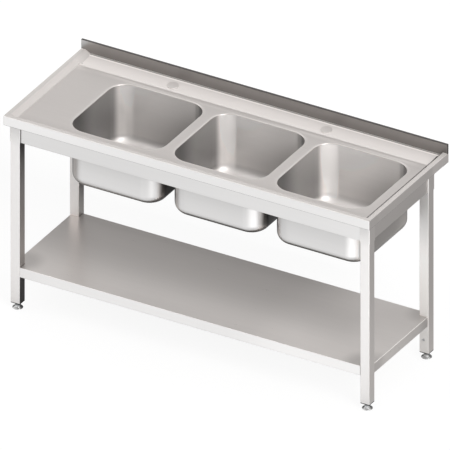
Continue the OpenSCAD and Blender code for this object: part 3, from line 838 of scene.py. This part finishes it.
MATERIALS = {
    # worktop
    "sheet_steel": steel("steel_sheet_brushed", "X"),
    # deck: painted light, lighter just in front of the ledge, and painted shade, a little darker
    # at the front
    "deck_steel": steel(
        "steel_sheet_deck", "X",
        gradients=[("Y", 0.165, 0.196, 1.0, 1.16), ("Y", -0.25, -0.21, 0.955, 1.0)]),
    # ledge: a toned satin copy of the sheet with a painted highlight strip 6 to 14 mm in front of
    # the upstand and a painted dark crease shadow over the last 6 mm
    "ledge_steel": steel(
        "steel_ledge_satin_painted_crease", "X", shade=0.99, rough=0.45, metal=0.12,
        gradients=[
            ("Y", (UPSTAND_FRONT - 15) * MM, (UPSTAND_FRONT - 13.5) * MM, 1.0, 1.30),
            ("Y", (UPSTAND_FRONT - 6.6) * MM, (UPSTAND_FRONT - 6.0) * MM, 1.0, 0.30)]),
    # right slope: painted almost black, a painted dark band standing in for the shade it reflects
    "slope_right_painted_dark": steel("steel_sheet_slope", "Y", shade=0.12),
    # left slope: a separately toned copy of the sheet, painted to the brightness the light gives
    # it
    "slope_left": steel("steel_sheet_slope_left", "Y", shade=0.785, rough=0.45, metal=0.12),
    # left rim: a toned copy of the sheet, painted light, with a painted dark line along its outer
    # edge and a faint painted band further in
    "rim_left": steel(
        "steel_sheet_rim_left", "Y", shade=0.77, rough=0.45, metal=0.12,
        gradients=[("X", -0.7995, -0.7965, 0.55, 1.0), ("X", -0.791, -0.788, 1.0, 0.955),
                   ("X", -0.786, -0.783, 1.0, 1.045)]),
    # front bends of the worktop and shelf: painted highlight, a brighter copy of the sheet
    "edge_painted_highlight": steel("steel_sheet_edge_painted_highlight", "X", shade=1.25, metal=0.5),
    # bottom hem of the worktop: painted shadow, a dark line under the skirt
    "hem_painted_shadow": steel("steel_sheet_hem_painted_shadow", "X", shade=0.35),
    # top and end faces of the upstand: painted dark, a painted shade line along its top edge
    "upstand_edge": steel("steel_upstand_edge_painted_dark", "X", shade=0.16, rough=0.35),
    # rolled bowl rims: painted highlight along the rear and right edges of each opening
    "roll_steel": steel(
        "steel_bowl_rim_painted_highlight", "X", shade=0.98, metal=0.8,
        around=[(-180, 1.35), (-130, 1.0), (50, 1.0), (80, 1.30), (180, 1.35)], level=1.0),
    # upstand front: a darker copy of the sheet, painted shade, with painted light towards its left
    # end and its top
    "upstand_steel": steel(
        "steel_sheet_upstand", "X", shade=0.38,
        gradients=[("X", -0.80, -0.70, 1.45, 1.0), ("Z", 0.85, 0.89, 0.85, 1.22)]),
    # flat rim tops: a separately toned copy of the sheet, painted to the brightness the light
    # gives them
    "rim_steel": steel("steel_sheet_rim", "X", shade=0.78, rough=0.45, metal=0.12),
    # legs
    "frame_steel": steel("steel_tube_brushed", "Z", shade=0.98),
    # front faces of the front legs: painted shadow, darker towards the top under the skirt
    "leg_front": steel(
        "steel_tube_face", "Z", rough=0.40, metal=0.55,
        gradients=[("Z", 0.70, 0.79, 1.0, 0.84)]),
    # right-hand sides of the left legs: painted shade, darker overall and much darker towards the
    # top under the worktop
    "leg_inner": steel(
        "steel_tube_inner", "Z", shade=0.68, gradients=[("Z", 0.62, 0.74, 1.0, 0.35)]),
    # front face of the rear right leg: a lighter copy, painted light, with painted shadow towards
    # the top under the apron and a little darker below the shelf
    "leg_rear": steel(
        "steel_tube_rear", "Z", shade=1.25, rough=0.40, metal=0.35,
        gradients=[("Z", 0.42, 0.68, 1.06, 0.62), ("Z", 0.15, 0.19, 0.955, 1.0)]),
    # front face of the rear left leg: painted shadow towards the top, painted light lower down
    # towards the shelf
    "leg_rear_left": steel(
        "steel_tube_rear_left", "Z", rough=0.40, metal=0.55,
        gradients=[("Z", 0.70, 0.79, 1.0, 0.84), ("Z", 0.14, 0.48, 1.26, 1.0)]),
    # shelf, aprons and small parts
    # shelf: painted light and shade, darker from the front to the middle, a little lighter again
    # towards the rear and lighter to the right, painted shadows round the legs and a faint painted
    # light patch at the right
    "shelf_steel": steel(
        "steel_shelf_brushed", "X", shade=0.98, metal=0.9,
        gradients=[("Y", -0.22, -0.03, 1.0, 0.87), ("Y", 0.0, 0.16, 1.0, 1.12),
                   ("X", 0.15, 0.42, 1.0, 1.12)],
        spots=[(-0.760, -0.215, 0.03, 0.10, 0.74), (0.764, -0.252, 0.05, 0.125, 0.76),
               (0.764, 0.196, 0.03, 0.10, 0.76), (0.764, 0.196, 0.08, 0.22, 0.88),
               (0.70, -0.02, 0.04, 0.17, 1.06)]),
    # shelf front: painted light, lighter towards the right
    "shelf_front": steel(
        "steel_shelf_front", "X", shade=0.98, metal=0.9,
        gradients=[("X", 0.15, 0.42, 1.0, 1.09)]),
    # aprons: darker copies of the sheet, painted shade under the worktop; the front and rear ones
    # darker still towards the left
    "apron_steel": steel(
        "steel_apron_brushed", "X", shade=0.90, gradients=[("X", -0.70, 0.60, 0.91, 1.0)]),
    "apron_steel_y": steel("steel_apron_brushed_y", "Y", shade=0.90),
    "plug_steel": steel("steel_plug", "X", shade=0.88, rough=0.35, metal=0.35),
    # feet: painted light and shade, lit only on faces turned to the front, dark on the other sides
    # and on faces that look down, with painted dark rims seen edge-on
    "foot_steel": steel(
        "steel_foot_turned", "Z", colour=(0.80, 0.80, 0.80), rough=0.28, anisotropy=0.0,
        metal=0.6, grazing=(0.50, 0.90, 0.15),
        around=[(-180, 0.2), (-40, 0.2), (0, 0.2), (34, 1.0), (108, 1.0), (156, 0.2), (180, 0.2)],
        tilt=[(0.25, 1.0), (-0.1, 0.45), (-0.5, 0.12), (-1.0, 0.1)]),
    # front right corners of the right-hand legs: painted highlight, a brighter copy
    "leg_corner_painted_highlight": steel("steel_tube_corner_painted_highlight", "Z", shade=1.25, metal=0.3),
    "polished_steel": steel(
        "steel_polished", "Z", colour=(0.86, 0.86, 0.85), rough=0.12, grain=0.02, bump=0.01,
        anisotropy=0.0),
    "screw_steel": steel(
        "steel_screw", "Z", colour=(0.66, 0.66, 0.66), rough=0.3, anisotropy=0.0, metal=0.85),
    "black_plastic": matt("nylon_black", (0.02, 0.02, 0.021), rough=0.5),
    "black_rubber": matt("rubber_black", (0.015, 0.015, 0.015), rough=0.7),
}


def bowl_inside(k, level, left, corner, low, near_left, near_right):
    """Satin inside, with light and shade painted into its colour. level is the overall painted
    brightness; left and corner are the painted tones of the left wall and of the rear left corner;
    low is the painted tone at the bottom, near_left and near_right run across."""
    cx = BOWLS[k][0] * MM
    # painted by facing: dark left wall, bright band at the rear left corner, dark front left and
    # rear right corners; darker towards the front and the bottom
    return steel(
        "steel_bowl_satin_%d" % k, "X", colour=(0.80, 0.775, 0.76), rough=0.44, grain=0.012,
        bump=0.006, anisotropy=0.0, metal=0.5, blotch=0.006,
        around=[(-180, 1.0), (-110, 1.0), (-60, 0.24), (-15, 0.24), (0, left),
                (18, left + 0.05), (46, corner), (62, corner * 1.15), (76, corner * 1.18),
                (90, 0.93), (95, 0.90), (106, 0.58), (124, 0.26), (150, 0.24), (180, 1.0)],
        level=1.22,
        gradients=[("Z", 0.62, 0.84, low * level, 1.36 * level),
                   ("X", cx - 0.11, cx + 0.125, near_left, near_right),
                   ("Y", -0.14, 0.0, 0.42, 1.0)])


def bowl_outside(k, right, turn, turn_front, left_end):
    """Outside, with light and shade painted into its colour. right is the painted tone of the
    right wall, turn and turn_front those of the painted highlight on the front right corner,
    left_end that of the left end."""
    cx = BOWLS[k][0] * MM
    # painted: a darker copy of the steel, darker rims seen edge-on, darker on faces that look down
    # and towards the top under the deck
    return steel(
        "steel_bowl_outer_%d" % k, "X", shade=0.74, grain=0.012, bump=0.01, anisotropy=0.0,
        blotch=0.006, grazing=(0.60, 0.90, 0.38),
        around=[(-180, 1.1), (-75, 1.1), (-35, right), (6, right), (20, max(0.3, right)),
                (36, turn), (47, turn_front), (58, 1.05), (82, 1.08), (96, 1.0), (180, 1.1)],
        level=1.0,
        tilt=[(-0.02, 1.0), (-0.28, 0.88), (-0.46, 0.58), (-0.62, 0.22), (-1.0, 0.12)],
        gradients=[("Z", 0.61, 0.80, 1.10, 0.80), ("X", cx - 0.20, cx - 0.10, left_end, 1.0)])


# Painted light and shade of the left, middle and right bowl
INSIDE_PAINTED_LIGHT = [
    dict(level=1.0, left=0.293, corner=0.94, low=0.81, near_left=1.05, near_right=0.76),
    dict(level=1.11, left=0.314, corner=1.14, low=0.83, near_left=1.0, near_right=0.76),
    dict(level=1.265, left=0.330, corner=1.19, low=0.83, near_left=1.0, near_right=0.73),
]
OUTSIDE_PAINTED_LIGHT = [
    dict(right=0.08, turn=1.04, turn_front=0.95, left_end=1.06),
    dict(right=0.08, turn=1.22, turn_front=1.15, left_end=0.97),
    dict(right=0.8, turn=1.75, turn_front=1.75, left_end=0.78),
]
for k, tones in enumerate(INSIDE_PAINTED_LIGHT):
    MATERIALS[f"bowl_inside_{k}"] = bowl_inside(k, **tones)
for k, tones in enumerate(OUTSIDE_PAINTED_LIGHT):
    MATERIALS[f"bowl_outside_{k}"] = bowl_outside(k, **tones)
MATERIALS["bowl_steel"] = MATERIALS["bowl_inside_0"]


# ---------------------------------------------------------------- materials onto faces
def paint(piece, names, choose=None):
    """Gives the piece its materials. choose(centre in mm, normal) names the one for a face."""
    piece.data.materials.clear()
    for name in names:
        piece.data.materials.append(MATERIALS[name])
    if choose:
        for face in piece.data.polygons:
            face.material_index = names.index(choose(face.center / MM, face.normal))


def worktop_face(centre, normal):
    # the bottom hem: painted shadow line under the skirt
    if centre.z < BASE + 1.6:
        return "hem_painted_shadow"
    # the front top bend: painted highlight
    if normal.y < -0.2 and normal.z > 0.2 and centre.y < FRONT + 2.5:
        return "edge_painted_highlight"
    # the left slope: its painted tone copy
    if normal.x > 0.2 and INNER_LEFT - 3 < centre.x < INNER_LEFT + 40:
        return "slope_left"
    # the right slope: painted dark band
    if normal.x < -0.18 and centre.x > INNER_RIGHT - 30 and centre.z < RIM_TOP - 0.3:
        return "slope_right_painted_dark"
    if centre.y > LEDGE_FRONT + 0.5 and normal.z > 0.9 and DECK - 1 < centre.z < RIM_TOP - 3:
        return "ledge_steel"
    # flat rim tops take the painted tone copies
    if normal.z > 0.95 and centre.z > RIM_TOP - 0.6:
        return "rim_left" if centre.x < INNER_LEFT else "rim_steel"
    return "deck_steel"


def upstand_face(centre, normal):
    if normal.y > 0.7 or normal.z < -0.5 or centre.z < DECK - 2:
        return "sheet_steel"
    # top and end faces: painted dark edge
    if normal.z > 0.2 or abs(normal.x) > 0.5:
        return "upstand_edge"
    return "upstand_steel"


def shelf_face(centre, normal):
    # the front and right top bends: painted highlight
    if normal.z > 0.2 and (normal.y < -0.25 or normal.x > 0.25) and centre.z > 150:
        return "edge_painted_highlight"
    return "shelf_front" if normal.y < -0.8 else "shelf_steel"


def tube_face(centre, normal):
    # front faces: copies with painted light and shade, darker towards their tops
    if normal.y < -0.8:
        if centre.y < 0:
            return "leg_front"
        return "leg_rear" if centre.x > 0 else "leg_rear_left"
    # right-hand sides of the left legs: painted shade
    if normal.x > 0.8 and centre.x < 0:
        return "leg_inner"
    # front right corners of the right-hand legs: painted highlight
    if normal.y < -0.45 and normal.x > 0.3 and centre.x > 0 and abs(normal.z) < 0.3:
        return "leg_corner_painted_highlight"
    return "frame_steel"


def paint_bowl(piece, k):
    inside, outside, roll = names = [f"bowl_inside_{k}", f"bowl_outside_{k}", "roll_steel"]
    cx, cy = BOWLS[k]

    def choose(centre, normal):
        # the rolled rim: painted highlight
        if centre.z > DECK - BOWL_ROLL + 0.05:
            return roll
        outward = (centre.x - cx) * normal.x + (centre.y - cy) * normal.y
        return outside if outward > 1.0 or normal.z < -0.5 else inside

    paint(piece, names, choose)


node_slots = {part["node"]: part["material_slot"] for part in frame["record"]["subparts"]}
for node_name, cad_piece in nodes.items():
    paint(cad_piece, [node_slots[node_name]])
paint(worktop, ["deck_steel", "ledge_steel", "rim_steel", "slope_right_painted_dark", "edge_painted_highlight",
                "hem_painted_shadow", "slope_left", "rim_left"], worktop_face)
paint(upstand, ["upstand_steel", "upstand_edge", "sheet_steel"], upstand_face)
paint(shelf, ["shelf_steel", "edge_painted_highlight", "shelf_front"], shelf_face)
for k, bowl in enumerate(bowls):
    paint_bowl(bowl, k)
for tube in tubes:
    paint(tube, ["frame_steel", "leg_front", "leg_inner", "leg_rear", "leg_corner_painted_highlight",
                 "leg_rear_left"], tube_face)
for side, apron in aprons.items():
    paint(apron, ["apron_steel_y" if side in ("left", "right") else "apron_steel"])
for foot in feet:
    paint(foot, ["foot_steel"])
for plug in plugs:
    paint(plug, ["plug_steel"])


# ---------------------------------------------------------------- stage, metres
WHITE = (1, 1, 1, 1)
WARM = (1.0, 0.992, 0.985, 1)
COOL = (1.0, 1.040, 1.065, 1)
# Brightness of the floor as the steel sees it
FLOOR_FRONT, FLOOR_SIDE, FLOOR_REAR, FLOOR_BACK = 1.05, 0.52, 0.40, 0.18
# the floor under the frame: painted shadow, as the steel sees it
FLOOR_UNDER_LEFT, FLOOR_UNDER_RIGHT = 0.06, 0.45
FRONT_RIGHT_EXTRA, FRONT_LEFT_EXTRA = 0.75, 0.14


def stage_quad(name, corners, material):
    data = bpy.data.meshes.new(name)
    data.from_pydata(corners, [], [(0, 1, 2, 3)])
    data.materials.append(material)
    return add_object(name, data)


def floor_light(tree):
    """Colour and strength: bright in front, greyer at the sides, dim behind, with a painted shadow
    underneath.
    """
    x, y, _ = split(tree, add_node(tree, "NewGeometry").outputs["Position"])
    # angle away from straight ahead, seen from a point at y = 0.2
    angle = calc(tree, "ARCTAN2", x, calc(tree, "SUBTRACT", 0.2, y))
    angle = calc(tree, "ABSOLUTE", angle)
    level = ease(tree, angle, 0.84, 1.15, FLOOR_FRONT, FLOOR_SIDE)
    level = ease(tree, angle, 1.45, 2.15, level, FLOOR_REAR)
    level = ease(tree, angle, 2.3, 2.7, level, FLOOR_BACK)
    patch = calc(tree, "MULTIPLY", ease(tree, x, 0.15, 0.95, 0.0, FRONT_RIGHT_EXTRA),
                 ease(tree, y, -0.65, -1.05, 0.0, 1.0))
    patch = calc(tree, "MULTIPLY", patch, ease(tree, angle, 0.9, 1.2, 1.0, 0.0))
    level = calc(tree, "ADD", level, patch)
    patch = calc(tree, "MULTIPLY", ease(tree, x, -0.9, -1.4, 0.0, FRONT_LEFT_EXTRA),
                 ease(tree, y, -1.1, -1.5, 0.0, 1.0))
    level = calc(tree, "ADD", level, patch)
    # the rectangle under the frame: painted shadow of the unit, as the steel sees the floor
    within_x = ease(tree, calc(tree, "ABSOLUTE", x), 0.72, 0.86, 1.0, 0.0)
    from_middle = calc(tree, "ABSOLUTE", calc(tree, "ADD", y, 0.02))
    within_y = ease(tree, from_middle, 0.2, 0.36, 1.0, 0.0)
    under = ease(tree, x, 0.1, 0.6, FLOOR_UNDER_LEFT, FLOOR_UNDER_RIGHT)
    level = ease(tree, calc(tree, "MULTIPLY", within_x, within_y), 0.0, 1.0, level, under)
    return mix_colours(tree, COOL, WARM, ease(tree, angle, 0.84, 1.3, 0.0, 1.0)), level


def build_floor():
    material, tree = empty_material("floor_pale")
    # for the camera: almost white, with a trace of contact shadow
    diffuse = add_node(tree, "BsdfDiffuse")
    diffuse.inputs[0].default_value = (0.12, 0.12, 0.12, 1)
    pale = add_node(tree, "AddShader")
    feed(tree, pale.inputs[0], glow(tree, "Emission", WHITE, 0.90))
    feed(tree, pale.inputs[1], diffuse.outputs[0])
    reflected = glow(tree, "Emission", *floor_light(tree))
    camera_ray = add_node(tree, "LightPath").outputs["Is Camera Ray"]
    out = add_node(tree, "OutputMaterial")
    feed(tree, out.inputs[0], mix_shaders(tree, camera_ray, reflected, pale.outputs[0]))
    s = 40.0
    stage_quad("floor", [(-s, -s, 0), (s, -s, 0), (s, s, 0), (-s, s, 0)], material)


def build_card(name, x_span, y, z_span, stops, fade=None):
    """Upright card across X that only reflections see. stops are (height, brightness);
    fade is (start, end, brightness at the end) along X."""
    material, tree = empty_material(name)
    place = split(tree, add_node(tree, "NewGeometry").outputs["Position"])
    level = ramp(tree, place[2], stops)
    if fade:
        start, end, after = fade
        level = ease(tree, place[0], start, end, level, after)
    out = add_node(tree, "OutputMaterial")
    feed(tree, out.inputs[0], glow(tree, "Emission", WARM, level))
    (x0, x1), (z0, z1) = x_span, z_span
    card = stage_quad(name, [(x0, y, z0), (x1, y, z0), (x1, y, z1), (x0, y, z1)], material)
    card.visible_camera = False
    card.visible_shadow = False


def build_world(lobes, horizon, zenith):
    """Dome: a vertical gradient with soft lobes of (direction, brightness, cosine of the
    inner edge, cosine of the outer edge). The camera sees plain white."""
    world = bpy.data.worlds.new("studio")
    bpy.context.scene.world = world
    world.use_nodes = True
    tree = world.node_tree
    tree.nodes.clear()
    direction = add_node(tree, "TexCoord").outputs["Generated"]
    height = split(tree, direction)[2]
    level = ease(tree, height, 0.0, 1.0, horizon, zenith, interpolation="LINEAR")
    for towards, brightness, inner, outer in lobes:
        dot = add_node(tree, "VectorMath")
        dot.operation = "DOT_PRODUCT"
        feed(tree, dot.inputs[0], direction)
        feed(tree, dot.inputs[1], Vector(towards).normalized())
        level = ease(tree, dot.outputs["Value"], outer, inner, level, brightness)
    lit = glow(tree, "Background", WARM, level)
    seen = glow(tree, "Background", WHITE, 1.0)
    camera_ray = add_node(tree, "LightPath").outputs["Is Camera Ray"]
    out = add_node(tree, "OutputWorld")
    feed(tree, out.inputs[0], mix_shaders(tree, camera_ray, lit, seen))


build_floor()
build_card("card_back", x_span=(-3.0, 0.80), y=0.62, z_span=(0.0, 1.0),
           stops=[(0.10, 0.08), (0.42, 0.21), (0.58, 0.36), (0.78, 0.82), (1.0, 0.70)],
           fade=(0.0, 0.55, 0.62))
build_card("card_front", x_span=(-3.2, 0.6), y=-1.45, z_span=(1.30, 3.2),
           stops=[(1.3, 0.30), (3.2, 0.30)])
build_world([
    ((-0.433, 0.75, 0.5), 0.67, 0.985, 0.85),           # rear left
    ((0.433, -0.75, 0.5), 0.22, 0.97, 0.86),            # front right, round the camera
    ((-0.75, -0.43, 0.5), 1.9, 0.96, 0.86),             # left, towards the front
    ((0.689, -0.372, 0.622), 6.6, 0.990, 0.938),        # right, towards the front
], horizon=0.75, zenith=0.95)

bpy.context.scene.view_settings.view_transform = "Standard"


# ---------------------------------------------------------------- camera
def build_camera(around, above, width, shift_right, shift_up, distance):
    """Parallel view from the front, turned to the right by around and raised by above."""
    data = bpy.data.cameras.new("cam")
    data.type = "ORTHO"
    data.ortho_scale = width
    data.clip_end = 60.0
    camera = add_object("cam", data)
    a, e = math.radians(around), math.radians(above)
    outward = Vector((math.sin(a) * math.cos(e), -math.cos(a) * math.cos(e), math.sin(e)))
    right = Vector((math.cos(a), math.sin(a), 0))
    up = right.cross(-outward)
    camera.location = right * shift_right + up * shift_up + outward * distance
    camera.rotation_euler = (-outward).to_track_quat("-Z", "Y").to_euler()
    bpy.context.scene.camera = camera


build_camera(around=30, above=30, width=1.70325511, shift_right=-0.00331, shift_up=0.39289,
             distance=6.0)
